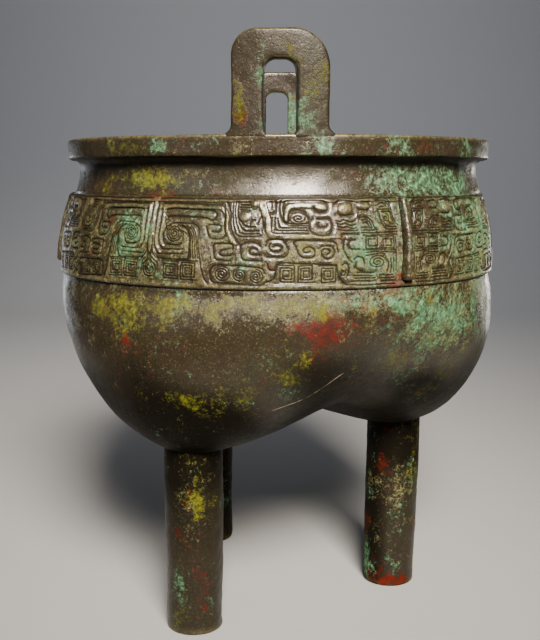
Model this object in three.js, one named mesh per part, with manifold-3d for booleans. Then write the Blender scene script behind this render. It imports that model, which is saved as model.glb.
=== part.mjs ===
// A cast bronze ding: a hollow bowl with a trefoil underside, three round legs under its lobes,
// a thick flat rim with two upright loop handles, and a raised band of beast masks with flanges.
// Millimetres, +Z up, feet on z = 0. Azimuth 0 is the front (-Y), and it grows towards +X.
import * as THREE from "three";
import { mergeVertices } from "three/addons/utils/BufferGeometryUtils.js";
import Module from "manifold-3d";

const wasm = await Module();
wasm.setup();

// Heights, from the floor up
const legLength = 77.8; // floor to the lowest point of a lobe
const lobeDepth = 72; // lowest point of a lobe to the widest level of the belly
const bandGap = 2.5; // widest level to the lower edge of the band
const bandHeight = 35;
const neckHeight = 14.5; // upper edge of the band to the underside of the rim
const rimHeight = 8.2;

// Radii from the vessel's axis, and the wall
const bellyRadius = 97.6;
const shoulderRadius = 92;
const neckRadius = 89.9;
const rimOverhang = 5.1; // neck to the edge of the rim
const wall = 4;

// The trefoil underside
const legAzimuths = [-30, 90, 210]; // degrees
const legCircleRadius = 61.4; // axis to the middle of a leg
const legTopRadius = 12.7;
const legFootRadius = 12;
const crookedFoot = [-1.6, -2.5]; // the foot at 90 degrees stands off its leg's upright
const lobeTaper = 1.3; // how soon a lobe narrows below the belly
const lobeFullness = 1.52; // how round it stays near its lowest point
const lobeSpread = 1.06; // how its middle moves out towards its leg
const cleftSoftness = 5.8; // radius of the soft valley between two lobes
const bellyLean = 1.2; // the belly's middle lies this far towards -X of the rim's
const legLean = 5.8; // and the middle of the three legs this far

// The band and its carving
const bandProud = 0.7; // the field of the band above the wall
const railHeight = 2; // the plain border along each edge
const reliefProud = 0.5; // borders and figures above the field
const flangeWidth = 2.8;
const flangeTopProud = 3.2; // above the band's field
const flangeFootProud = 4;
const flangeClearance = 3; // lower edge of the band to the foot of a flange
const chinHeight = 8; // the thicker foot of a flange
const chinWidth = 3.6;
const flangeRound = 1.5; // rounding of a flange's crest and foot

// The handles
const frontHandleHeight = 37.7;
const rearHandleHeight = 40.2;
const handleWidth = 36.6;
const handleThickness = 7.5;
const lintelHeight = 10.5; // solid metal above the window
const windowWidth = 12.6;
const handleCorners = [9.5, 13.5]; // outer corner radii, left and right, seen from outside
const windowCorner = 4.6;
const handleFillet = 2.6; // where the handle meets the rim
const edgeRound = 0.9; // broken edges of the rim, the handles and the feet

// Levels and radii that follow
const bellyZ = legLength + lobeDepth;
const bandZ = bellyZ + bandGap;
const shoulderZ = bandZ + bandHeight;
const rimZ = shoulderZ + neckHeight;
const topZ = rimZ + rimHeight;
const rimRadius = neckRadius + rimOverhang;
const rimSlope = 3.2; // height of the chamfer from the neck out to the rim's underside
const sunk = 1.5; // how deep an added form starts inside what carries it

const degrees = Math.PI / 180;
const bodyColumns = 60;
const bodyRows = 12; // from the lowest point of the underside to the belly
const cavityColumns = 40;
const cavityRows = 10;
const { clamp, lerp } = THREE.MathUtils;

// The axis bends towards -X below the rim, because the legs stand off the rim's middle.
function axisShift(z) {
  if (z > bellyZ) return -bellyLean * clamp((rimZ - z) / (rimZ - bellyZ), 0, 1);
  return lerp(-bellyLean, -legLean, Math.min((bellyZ - z) / lobeDepth, 1));
}

function polar(radius, azimuth, z) {
  const turn = azimuth * degrees;
  return new THREE.Vector3(axisShift(z) + radius * Math.sin(turn), -radius * Math.cos(turn), z);
}

// Radius of the plain wall from the belly up to the neck.
function wallRadius(z) {
  const toBelly = clamp((shoulderZ - z) / (shoulderZ - bellyZ), 0, 1);
  if (z <= shoulderZ) return lerp(shoulderRadius, bellyRadius, 1 - (1 - toBelly) ** 3);
  const toNeck = clamp((z - shoulderZ) / (neckHeight - rimSlope), 0, 1);
  return lerp(neckRadius, shoulderRadius, (1 - toNeck) ** 2);
}

// Radius of the band's field, which is two straight cones on the curved wall.
function fieldRadius(z) {
  const middleZ = bandZ + bandHeight / 2;
  const [low, high] = z < middleZ ? [bandZ, middleZ] : [middleZ, shoulderZ];
  return bandProud + lerp(wallRadius(low), wallRadius(high), (z - low) / (high - low));
}

// Below the belly each level is three circles that part towards the legs, joined by soft valleys.
// The result is negative inside. An inset draws the same form smaller, for the cavity.
function lobeField(point, inset) {
  const depth = (bellyZ - point.z) / (lobeDepth - inset);
  if (depth >= 1) return 1;
  const share = Math.max(depth, 0);
  const radius = (bellyRadius - inset) * (1 - share ** lobeTaper) ** (1 / lobeFullness);
  const out = legCircleRadius * share ** lobeSpread;
  const soft = cleftSoftness * Math.max(share, 0.02);
  const gaps = legAzimuths.map((azimuth) => polar(out, azimuth, point.z).distanceTo(point));
  const least = Math.min(...gaps);
  const blend = gaps.reduce((sum, gap) => sum + Math.exp((least - gap) / soft), 0);
  return least - soft * Math.log(blend) - radius;
}

// The point where a ray from the middle of the belly leaves the lobed underside.
function lobePoint(start, way, inset) {
  let near = 0;
  let far = 2 * (bellyRadius + lobeDepth);
  for (let step = 0; step < 40; step++) {
    const half = (near + far) / 2;
    if (lobeField(start.clone().addScaledVector(way, half), inset) < 0) near = half;
    else far = half;
  }
  return start.clone().addScaledVector(way, near);
}

// Moves every vertex of a geometry to where a function puts it.
function reshape(geometry, place) {
  const position = geometry.getAttribute("position");
  const vertex = new THREE.Vector3();
  for (let i = 0; i < position.count; i++)
    position.setXYZ(i, ...place(vertex.fromBufferAttribute(position, i)).toArray());
  return geometry;
}

// A solid for joining and cutting. A mirrored geometry has its faces turned over.
function solid(geometry, mirrored = false) {
  geometry.deleteAttribute("normal");
  geometry.deleteAttribute("uv");
  const merged = mergeVertices(geometry);
  const index = merged.getIndex().array;
  const faces = [];
  for (let i = 0; i < index.length; i += 3) {
    const [a, b, c] = index.subarray(i, i + 3);
    if (a !== b && b !== c && c !== a) faces.push(a, ...(mirrored ? [c, b] : [b, c]));
  }
  const vertProperties = merged.getAttribute("position").array;
  const mesh = new wasm.Mesh({ numProp: 3, vertProperties, triVerts: new Uint32Array(faces) });
  return new wasm.Manifold(mesh);
}

// A turned body from [radius, z] pairs. Its azimuth starts at the front and grows towards +X.
function turned(profile, columns) {
  const points = profile.map(([radius, z]) => new THREE.Vector2(radius, z));
  return new THREE.LatheGeometry(points, columns).rotateX(90 * degrees);
}

// A turned vessel form with a quarter-round bottom, whose bottom then becomes the trefoil and whose
// axis bends.
function lobed(upperProfile, columns, rows, inset) {
  const start = polar(0, 0, bellyZ);
  const bottom = [];
  for (let row = 0; row < rows; row++) {
    const rise = (row / rows) * 90 * degrees;
    bottom.push([bellyRadius * Math.sin(rise), bellyZ - bellyRadius * Math.cos(rise)]);
  }
  const geometry = turned([...bottom, ...upperProfile, [0, upperProfile.at(-1)[1]]], columns);
  return reshape(geometry, (vertex) => {
    if (vertex.z > bellyZ - 0.1) return vertex.setX(vertex.x + axisShift(vertex.z));
    vertex.z -= bellyZ;
    return lobePoint(start, vertex.normalize(), inset);
  });
}

function bowl() {
  const rail = (z) => fieldRadius(z) + reliefProud;
  const bevel = 0.4; // height taken by each edge of the band
  const upperRailZ = shoulderZ - railHeight;
  const middleZ = bandZ + bandHeight / 2;
  const neckZ = rimZ - rimSlope;
  const profile = [
    [bellyRadius, bellyZ],
    [wallRadius(bandZ), bandZ],
    [rail(bandZ), bandZ + bevel],
    [rail(bandZ + railHeight), bandZ + railHeight],
    [fieldRadius(bandZ + railHeight), bandZ + railHeight + bevel],
    [fieldRadius(middleZ), middleZ],
    [fieldRadius(upperRailZ), upperRailZ - bevel],
    [rail(upperRailZ), upperRailZ],
    [rail(shoulderZ), shoulderZ - bevel],
    [shoulderRadius, shoulderZ],
    [wallRadius((shoulderZ + neckZ) / 2), (shoulderZ + neckZ) / 2],
    [neckRadius, neckZ],
    [rimRadius - edgeRound, rimZ],
    [rimRadius, rimZ + edgeRound],
    [rimRadius, topZ - edgeRound],
    [rimRadius - edgeRound, topZ],
  ];
  return solid(lobed(profile, bodyColumns, bodyRows, 0));
}

// The cavity runs out past the rim's top, and its mouth has a broken edge.
function cavity() {
  const levels = [bellyZ, (bellyZ + shoulderZ) / 2, shoulderZ];
  const mouth = neckRadius - wall;
  const profile = [
    ...levels.map((z) => [wallRadius(z) - wall, z]),
    [mouth, rimZ - rimSlope],
    [mouth, topZ - edgeRound],
    [mouth + 2 * edgeRound, topZ + edgeRound],
  ];
  return solid(lobed(profile, cavityColumns, cavityRows, wall));
}

function leg(azimuth) {
  const middle = polar(legCircleRadius, azimuth, legLength);
  const crook = azimuth === 90 ? crookedFoot : [0, 0];
  const straightZ = legLength - legTopRadius / 2;
  const top = legLength + 2 * wall;
  const profile = [
    [0, 0],
    [legFootRadius - edgeRound, 0],
    [legFootRadius, edgeRound],
    [legTopRadius, straightZ],
    [legTopRadius, top],
    [0, top],
  ];
  return solid(
    reshape(turned(profile, 20), (vertex) => {
      const share = Math.max(1 - vertex.z / straightZ, 0);
      vertex.x += middle.x + share * crook[0];
      vertex.y += middle.y + share * crook[1];
      return vertex;
    }),
  );
}

// An upper corner of the arch as points, from its upright side to its level top. Inwards is +1 for
// a corner on the left and -1 for one on the right.
function archCorner(x, up, radius, inwards) {
  const steps = 4;
  return Array.from({ length: steps + 1 }, (_, i) => {
    const turn = ((i / steps) * Math.PI) / 2;
    const across = x + inwards * radius * (1 - Math.cos(turn));
    return new THREE.Vector2(across, up - radius * (1 - Math.sin(turn)));
  });
}

// The arch of a handle, drawn flat from the rim's top, as pairs of a point on its outer edge and
// one on the edge of its window, from the left foot over the top to the right foot.
function archStations(height) {
  const half = handleWidth / 2;
  const inner = windowWidth / 2;
  const lintel = height - lintelHeight;
  const [left, right] = handleCorners;
  const feet = [
    [half + handleFillet, -sunk],
    [half + handleFillet, 0],
    [half + 0.3 * handleFillet, 0.4 * handleFillet],
    [half, 1.5 * handleFillet],
  ];
  const foot = (side) =>
    feet.map(([x, up]) => [new THREE.Vector2(side * x, up), new THREE.Vector2(side * inner, up)]);
  const corner = (x, side, radius) => {
    const window = archCorner(side * inner, lintel, windowCorner, -side);
    return archCorner(side * x, height, radius, -side).map((point, i) => [point, window[i]]);
  };
  return [
    ...foot(-1),
    ...corner(half, -1, left),
    ...corner(half, 1, right).reverse(),
    ...foot(1).reverse(),
  ];
}

// A handle is a bar with broken edges that follows its arch and is bent round the rim.
function handle(azimuth, height) {
  const stations = archStations(height);
  const bar = new THREE.CylinderGeometry(1, 1, 1, 8, stations.length - 1).rotateY(22.5 * degrees);
  const broken = (own, other, half) => {
    if (Math.abs(own) < 0.1 && Math.abs(other) < 0.1) return 0; // the middle of an end
    return Math.sign(own) * (Math.abs(own) > Math.abs(other) ? half : half - edgeRound);
  };
  return solid(
    reshape(bar, ({ x, y, z }) => {
      const [outer, window] = stations[Math.round((0.5 - y) * (stations.length - 1))];
      const across = broken(x, z, outer.distanceTo(window) / 2);
      const way = outer.clone().sub(window).normalize();
      const point = outer.clone().add(window).divideScalar(2).addScaledVector(way, across);
      const radius = rimRadius - handleThickness / 2 + broken(z, x, handleThickness / 2);
      return polar(radius, azimuth + point.x / rimRadius / degrees, topZ + point.y);
    }),
  );
}

// A flange is a fin that grows towards its foot, over a thicker chin with a rounded end. Both are
// drawn in side view, in millimetres out from the wall and up from the band's lower edge.
function flange(azimuth) {
  const foot = flangeClearance;
  const finFoot = foot + chinHeight / 8;
  const crest = bandHeight - flangeRound;
  const proud = (up) => lerp(flangeFootProud, flangeTopProud, (up - foot) / (bandHeight - foot));
  const fin = [
    [-sunk, finFoot],
    [proud(finFoot), finFoot],
    [proud(bandHeight / 2), bandHeight / 2],
    [proud(crest), crest],
    [proud(bandHeight) - flangeRound, bandHeight],
    [-sunk, bandHeight],
  ];
  const chin = [
    [-sunk, foot],
    [flangeFootProud - flangeRound, foot],
    [flangeFootProud, foot + flangeRound],
    [flangeFootProud, foot + chinHeight],
    [-sunk, foot + chinHeight],
  ];
  const plate = (outline, width) => {
    const shape = new THREE.Shape(outline.map(([out, up]) => new THREE.Vector2(out, up)));
    const slab = new THREE.ExtrudeGeometry(shape, { depth: width, bevelEnabled: false });
    return solid(
      reshape(slab, ({ x, y, z }) => {
        const radius = fieldRadius(bandZ + y) + x;
        return polar(radius, azimuth + (width / 2 - z) / radius / degrees, bandZ + y);
      }),
    );
  };
  return plate(fin, flangeWidth).add(plate(chin, chinWidth));
}

// The carving is drawn unrolled for the right half of a mask. Across is in hundredths of the girth
// from the mask's nose line to the flange. Up, and each form's own size, is in hundredths of the
// band's height from its lower edge.
const halfMask = 60; // degrees from a nose line to a flange
const girthRadius = wallRadius(bandZ + bandHeight / 2);
const acrossUnit = (girthRadius * halfMask * degrees) / 100;
const upUnit = bandHeight / 100;

// Wraps a drawn form on the band. Side -1 gives the mirrored half.
function onBand(geometry, azimuth, side) {
  const place = ({ x, y, z }) => {
    const turn = azimuth + (side * x) / girthRadius / degrees;
    return polar(fieldRadius(bandZ + y) + z, turn, bandZ + y);
  };
  return solid(reshape(geometry, place), side < 0);
}

// A raised strip with sloping sides along a smooth drawn line, from one width to another.
function strip({ line, widths }) {
  const spacing = 7; // longest straight step, so that the strip follows the girth
  const slope = 0.8; // width of the top over width of the foot
  const drawn = ([across, up]) => new THREE.Vector2(across * acrossUnit, up * upUnit);
  const curve = new THREE.SplineCurve(line.map(drawn));
  const steps = Math.ceil(curve.getLength() / spacing);
  const depth = sunk + reliefProud;
  const bar = new THREE.BoxGeometry(1, 1, depth, steps, 1, 1).translate(0.5, 0, depth / 2 - sunk);
  return reshape(bar, ({ x, y, z }) => {
    const point = curve.getPointAt(x);
    const ahead = curve.getTangentAt(x);
    const offset = y * lerp(...widths, x) * upUnit * (z > 0 ? slope : 1);
    return new THREE.Vector3(point.x - offset * ahead.y, point.y + offset * ahead.x, z);
  });
}

// A low dome, as an eye or an ear. It rises a number of times the height of the relief.
function boss({ at, halfWidth, halfHeight, rise }) {
  const dome = new THREE.SphereGeometry(1, 8, 3).rotateX(90 * degrees);
  dome.scale(halfWidth * upUnit, halfHeight * upUnit, rise * reliefProud);
  return dome.translate(at[0] * acrossUnit, at[1] * upUnit, 0);
}

const nose = { line: [[0, 91.4], [0, 57.1], [0, 30]], widths: [6.3, 17.1] };
const strips = {
  trunk: {
    line: [[7.9, 68.6], [14.8, 68.6], [18.8, 55.7], [20.1, 34.3], [22.4, 8.6]],
    widths: [8.6, 15.4],
  },
  crown: {
    line: [[3.5, 88.6], [25.7, 88.6], [30.4, 78.9], [30.6, 62.9], [33.6, 51.4]],
    widths: [6.3, 6.3],
  },
  ridge: { line: [[43.8, 93.1], [46.2, 77.1], [49, 60], [59.2, 57.7], [73, 57.1]], widths: [9.1, 5.1] },
  brow: { line: [[52.9, 74.3], [54.7, 88.6], [61.2, 90.9], [67.7, 87.4]], widths: [5.7, 5.7] },
};
const bosses = {
  eye: { at: [57.6, 74.9], halfWidth: 9.4, halfHeight: 6.9, rise: 1.6 },
  sideEye: { at: [75.3, 86.3], halfWidth: 8.6, halfHeight: 7.4, rise: 2.6 },
  ear: { at: [40.8, 89.1], halfWidth: 4.3, halfHeight: 6, rise: 2 },
};

function carving(azimuth) {
  const halves = [-1, 1].flatMap((side) => [
    ...Object.values(strips).map((drawn) => onBand(strip(drawn), azimuth, side)),
    ...Object.values(bosses).map((drawn) => onBand(boss(drawn), azimuth, side)),
  ]);
  return [onBand(strip(nose), azimuth, 1), ...halves];
}

function vesselGeometry() {
  const forms = [
    bowl(),
    ...legAzimuths.map(leg),
    ...legAzimuths.map((azimuth) => flange(azimuth + halfMask)),
    ...legAzimuths.flatMap(carving),
    handle(0, frontHandleHeight),
    handle(180, rearHandleHeight),
  ];
  const mesh = wasm.Manifold.union(forms).subtract(cavity()).getMesh();
  const geometry = new THREE.BufferGeometry();
  geometry.setAttribute("position", new THREE.BufferAttribute(mesh.vertProperties, 3));
  geometry.setIndex(new THREE.BufferAttribute(mesh.triVerts, 1));
  return geometry;
}

const bronze = new THREE.MeshStandardMaterial({ color: 0x4a4a38, roughness: 0.55, metalness: 0.6 });
const vessel = new THREE.Mesh(vesselGeometry(), bronze);
vessel.name = "ding_vessel";

// The origin is the middle of the vessel's box, on the floor.
const middle = new THREE.Box3().setFromObject(vessel).getCenter(new THREE.Vector3());
vessel.position.set(-middle.x, -middle.y, 0);

const ding = new THREE.Group();
ding.add(vessel);
export default ding;
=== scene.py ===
"""A cast bronze ding on its three round feet: its surfaces, its band of masks and its patina."""

import math

import bpy
import numpy as np
from bpy.props import FloatProperty, FloatVectorProperty, PointerProperty
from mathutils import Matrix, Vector


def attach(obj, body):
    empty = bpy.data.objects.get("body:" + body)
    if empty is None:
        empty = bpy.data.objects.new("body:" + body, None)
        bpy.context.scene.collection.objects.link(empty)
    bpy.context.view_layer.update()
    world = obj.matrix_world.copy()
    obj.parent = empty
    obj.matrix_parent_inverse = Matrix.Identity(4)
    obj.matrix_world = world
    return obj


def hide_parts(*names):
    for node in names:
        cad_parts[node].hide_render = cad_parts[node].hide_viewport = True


bl_info = {
    "name": "Bronze ding",
    "version": (1, 0, 0),
    "blender": (4, 5, 0),
    "location": "3D View > Sidebar > Ding",
    "description": "Builds the cast surfaces, the carved band and the patina of a bronze ding",
    "category": "Object",
}

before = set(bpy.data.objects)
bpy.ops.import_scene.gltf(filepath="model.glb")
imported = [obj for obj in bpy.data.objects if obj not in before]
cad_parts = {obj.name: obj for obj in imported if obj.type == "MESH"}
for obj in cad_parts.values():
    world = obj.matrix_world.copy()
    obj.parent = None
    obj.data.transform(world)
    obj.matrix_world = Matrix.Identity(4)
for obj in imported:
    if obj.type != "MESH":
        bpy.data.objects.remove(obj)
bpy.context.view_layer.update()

VESSEL = "ding_vessel"
BODY = "root"
MM = 0.001

LEG_AZIMUTHS = (-30, 90, 210)
HALF_MASK = 60  # degrees from a mask's nose line to the flange beside it
LOBE_TAPER = 1.3
LOBE_FULLNESS = 1.52
LOBE_SPREAD = 1.06
CLEFT_SOFTNESS = 5.8
BELLY_LEAN = 1.2
LEG_LEAN = 5.8
CROOKED_FOOT = (-1.6, -2.5)
NECK_CURVE = 3.2  # millimetres over which the neck turns out to the rim
HANDLE_ROOT = 3.2  # millimetres that a handle sinks into the rim
HANDLE_CORNERS = (9.5, 13.5)  # shares of the lobes' depth where the soot and painted shade start and are full
# how much darker and more matt each handle is made all over
HANDLE_DARKENING = {"handle_front": 0.4, "handle_back": 0.0}
BAND_RECESS = 1.6  # millimetres from the band's field in to what it sits on
LARGE_CLOUD, SMALL_CLOUD = 34, 13  # millimetres between the clouds of a growth
SOOT_AND_SHADE_LEVELS = (0.3, 0.7)  # shares of the lobes' depth where the soot starts and is full
CAMERA = (-0.00376, -0.45848, 0.19539)  # metres from the rim's axis on the floor
CAMERA_PITCH = 8.49  # degrees down
CAMERA_LENS = 55.0


def linear(hex_colour):
    """An sRGB hex colour as linear red, green and blue."""
    parts = [int(hex_colour[i : i + 2], 16) / 255 for i in (1, 3, 5)]
    return [p / 12.92 if p <= 0.04045 else ((p + 0.055) / 1.055) ** 2.4 for p in parts]


def length(name, millimetres, description):
    return FloatProperty(
        name=name, description=description, default=millimetres * MM, min=0, unit="LENGTH"
    )


def colour(name, hex_colour, description):
    return FloatVectorProperty(
        name=name,
        description=description,
        default=linear(hex_colour),
        subtype="COLOR",
        size=3,
        min=0,
        max=1,
    )


class DingSizes(bpy.types.PropertyGroup):
    """The vessel's sizes, as its solid has them."""

    leg_length: length("Leg", 77.8, "Floor to the lowest point of a lobe")
    lobe_depth: length("Lobes", 72, "Lowest point of a lobe to the widest level")
    band_gap: length("Band gap", 2.5, "Widest level to the lower edge of the band")
    band_height: length("Band", 35, "Height of the carved band")
    neck_height: length("Neck", 14.5, "Upper edge of the band to the rim's underside")
    rim_height: length("Rim", 8.2, "Height of the rim")
    belly_radius: length("Belly radius", 97.6, "Radius at the widest level")
    shoulder_radius: length("Shoulder radius", 92, "Radius at the band's upper edge")
    neck_radius: length("Neck radius", 89.9, "Radius under the rim")
    rim_overhang: length("Rim overhang", 5.1, "Neck to the edge of the rim")
    wall: length("Wall", 4, "Thickness of the wall")
    leg_circle: length("Leg circle", 61.4, "Axis to the middle of a leg")
    leg_top: length("Leg top radius", 12.7, "Radius of a leg under its lobe")
    leg_foot: length("Foot radius", 12, "Radius of a foot")
    band_proud: length("Band field", 0.7, "Field of the band above the wall")
    relief: length("Relief", 0.5, "Raised figures above the field")
    groove: length("Grooves", 0.5, "Depth of the outlines cut into the field")
    line: length("Fine lines", 0.34, "Depth of the lines of the spirals")
    flange_width: length("Flange", 2.8, "Thickness of a flange")
    flange_top: length("Flange top", 3.2, "How far a flange's top stands out")
    flange_foot: length("Flange foot", 4, "How far a flange's foot stands out")
    flange_gap: length("Flange gap", 3, "Lower edge of the band to a flange's foot")
    chin_height: length("Chin", 8, "Height of a flange's thicker foot")
    chin_width: length("Chin width", 3.6, "Thickness of a flange's foot")
    handle_width: length("Handle width", 36.6, "Width of a handle")
    handle_depth: length("Handle depth", 7.5, "Thickness of a handle")
    lintel: length("Lintel", 10.5, "Solid metal above the window")
    window: length("Window", 12.6, "Width of the window")
    window_corner: length("Window corner", 4.6, "Radius of the window's upper corners")
    handle_fillet: length("Fillet", 2.6, "Where a handle spreads onto the rim")
    front_handle: length("Front handle", 37.7, "Height of the front handle")
    rear_handle: length("Rear handle", 40.2, "Height of the rear handle")
    edge: length("Broken edge", 0.9, "Rounding of the rim's edges and feet")


class DingFinish(bpy.types.PropertyGroup):
    """The colours of the metal and of what has grown on it, some of which also paint shade and
    highlights.
    """

    bare: colour("Bare metal", "#2b2716", "Dark olive-brown skin of old bronze")
    warm: colour("Warm metal", "#30261a", "Browner clouds in that skin")
    # dirt in the carving and in dark specks, also used as painted shade under the rim and along the
    # band's lower edge
    dirt_and_shade: colour("Ground dirt", "#171209", "What fills the carving")
    # metal polished on high places, also used as painted highlight along the handles' rounded edges
    rubbed: colour("Rubbed metal", "#6c6340", "High places polished by hands")
    # thin crust, which on the legs' fronts also paints the highlight down each leg
    ash_and_highlight: colour("Thin crust", "#4f5030", "Grey-green film over the metal")
    ash_pale: colour("Dry thin crust", "#8e8a5a", "Where that film is dry and pale")
    olive: colour("Olive crust", "#4a4b12", "Thin yellow-green crust")
    olive_pale: colour("Pale olive crust", "#6c6a1e", "Where that crust is dry")
    malachite: colour("Malachite", "#365e3d", "Green crust")
    malachite_pale: colour("Pale malachite", "#6f9f78", "Powdery turquoise crust")
    cuprite: colour("Cuprite", "#5c100b", "Red copper oxide")
    cuprite_brown: colour("Brown cuprite", "#341a0e", "Where the red is covered")
    scratch: colour("Scratches", "#b9a98c", "Metal laid bare along a scratch")
    # soot, which also paints the shade under the lobes and down the legs
    soot_and_shade: colour("Soot", "#0d0b07", "Fire-blackened skin under the lobes")
    floor: colour("Floor", "#a09f9c", "The pale ground it stands on")


class Form:
    """The vessel's sizes in millimetres, with the formulas that all its surfaces share."""

    def __init__(self):
        sizes = bpy.context.scene.ding_sizes
        for name in DingSizes.__annotations__:
            setattr(self, name, getattr(sizes, name) / MM)
        self.belly_z = self.leg_length + self.lobe_depth
        self.band_z = self.belly_z + self.band_gap
        self.shoulder_z = self.band_z + self.band_height
        self.rim_z = self.shoulder_z + self.neck_height
        self.top_z = self.rim_z + self.rim_height
        self.rim_radius = self.neck_radius + self.rim_overhang
        self.neck_top = self.rim_z - NECK_CURVE
        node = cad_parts[VESSEL].data
        co = np.empty(len(node.vertices) * 3)
        node.vertices.foreach_get("co", co)
        co = co.reshape(-1, 3) / MM
        ring = co[np.abs(co[:, 2] - self.top_z) < 0.01]
        self.axis_x = (ring[:, 0].min() + ring[:, 0].max()) / 2

    def shift(self, z):
        """The axis leans evenly towards -X from the rim down, and faster below the belly."""
        above = -BELLY_LEAN * np.clip((self.rim_z - z) / (self.rim_z - self.belly_z), 0, 1)
        share = np.minimum((self.belly_z - z) / self.lobe_depth, 1)
        return np.where(z > self.belly_z, above, -BELLY_LEAN - (LEG_LEAN - BELLY_LEAN) * share)

    def polar(self, radius, azimuth, z):
        """Points at a radius from the leaning axis. Azimuth 0 is the front, growing towards +X."""
        radius, azimuth, z = np.broadcast_arrays(radius, azimuth, z)
        x = self.shift(z) + radius * np.sin(azimuth)
        return np.stack([x, -radius * np.cos(azimuth), z], -1)

    def wall_radius(self, z):
        """A cubic swell from shoulder to belly, and a parabola from shoulder to neck."""
        low = np.clip((self.shoulder_z - z) / (self.shoulder_z - self.belly_z), 0, 1)
        high = np.clip((z - self.shoulder_z) / (self.neck_top - self.shoulder_z), 0, 1)
        swell = (self.belly_radius - self.shoulder_radius) * (1 - (1 - low) ** 3)
        taper = (self.shoulder_radius - self.neck_radius) * (1 - (1 - high) ** 2)
        return self.shoulder_radius + swell - taper

    def field_radius(self, z):
        """The band's field is a parabola through the wall at its foot, middle and top."""
        share = (z - self.band_z) / self.band_height
        levels = self.band_z + self.band_height * np.array([0, 0.5, 1])
        low, middle, high = self.wall_radius(levels)
        curve = low * (1 - share) * (1 - 2 * share) + 4 * middle * share * (1 - share)
        return self.band_proud + curve + high * share * (2 * share - 1)

    def lobe_field(self, points, inset):
        """Each level is three circles that part towards the legs, joined by soft valleys:
        minus the soft minimum's logarithm of the three distances, less the circles' radius."""
        z = points[..., 2]
        depth = (self.belly_z - z) / (self.lobe_depth - inset)
        share = np.clip(depth, 0, 1)
        radius = (self.belly_radius - inset) * (1 - share**LOBE_TAPER) ** (1 / LOBE_FULLNESS)
        out = self.leg_circle * share**LOBE_SPREAD
        soft = CLEFT_SOFTNESS * np.maximum(share, 0.02)
        centres = [self.polar(out, math.radians(a), z) for a in LEG_AZIMUTHS]
        gaps = np.stack([np.linalg.norm(points - c, axis=-1) for c in centres])
        least = gaps.min(0)
        blend = np.exp((least - gaps) / soft).sum(0)
        return np.where(depth >= 1, 1.0, least - soft * np.log(blend) - radius)

    def lobe_surface(self, ways, inset):
        """Where rays from the middle of the belly leave the lobes, by halving."""
        start = self.polar(0, 0, self.belly_z)
        near = np.zeros(ways.shape[:-1])
        far = np.full(near.shape, 2 * (self.belly_radius + self.lobe_depth))
        for _ in range(40):
            half = (near + far) / 2
            inside = self.lobe_field(start + ways * half[..., None], inset) < 0
            near, far = np.where(inside, half, near), np.where(inside, far, half)
        return start + ways * near[..., None]


def smooth_step(low, high, value):
    share = np.clip((value - low) / (high - low), 0, 1)
    return share * share * (3 - 2 * share)


def ripple(points, size, seed, waves=22):
    """A smooth field of about -1 to 1: sine waves of about one length in seeded directions."""
    rng = np.random.default_rng(seed)
    ways = rng.normal(size=(waves, 3))
    ways /= np.linalg.norm(ways, axis=1)[:, None]
    numbers = ways * (2 * math.pi / (size * rng.uniform(0.65, 1.5, waves)))[:, None]
    phases = rng.uniform(0, 2 * math.pi, waves)
    flat = points.reshape(-1, 3)
    total = np.zeros(len(flat))
    for number, phase in zip(numbers, phases):
        total += np.sin(flat @ number + phase)
    return (total / math.sqrt(waves / 2) / 1.6).reshape(points.shape[:-1])


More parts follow.
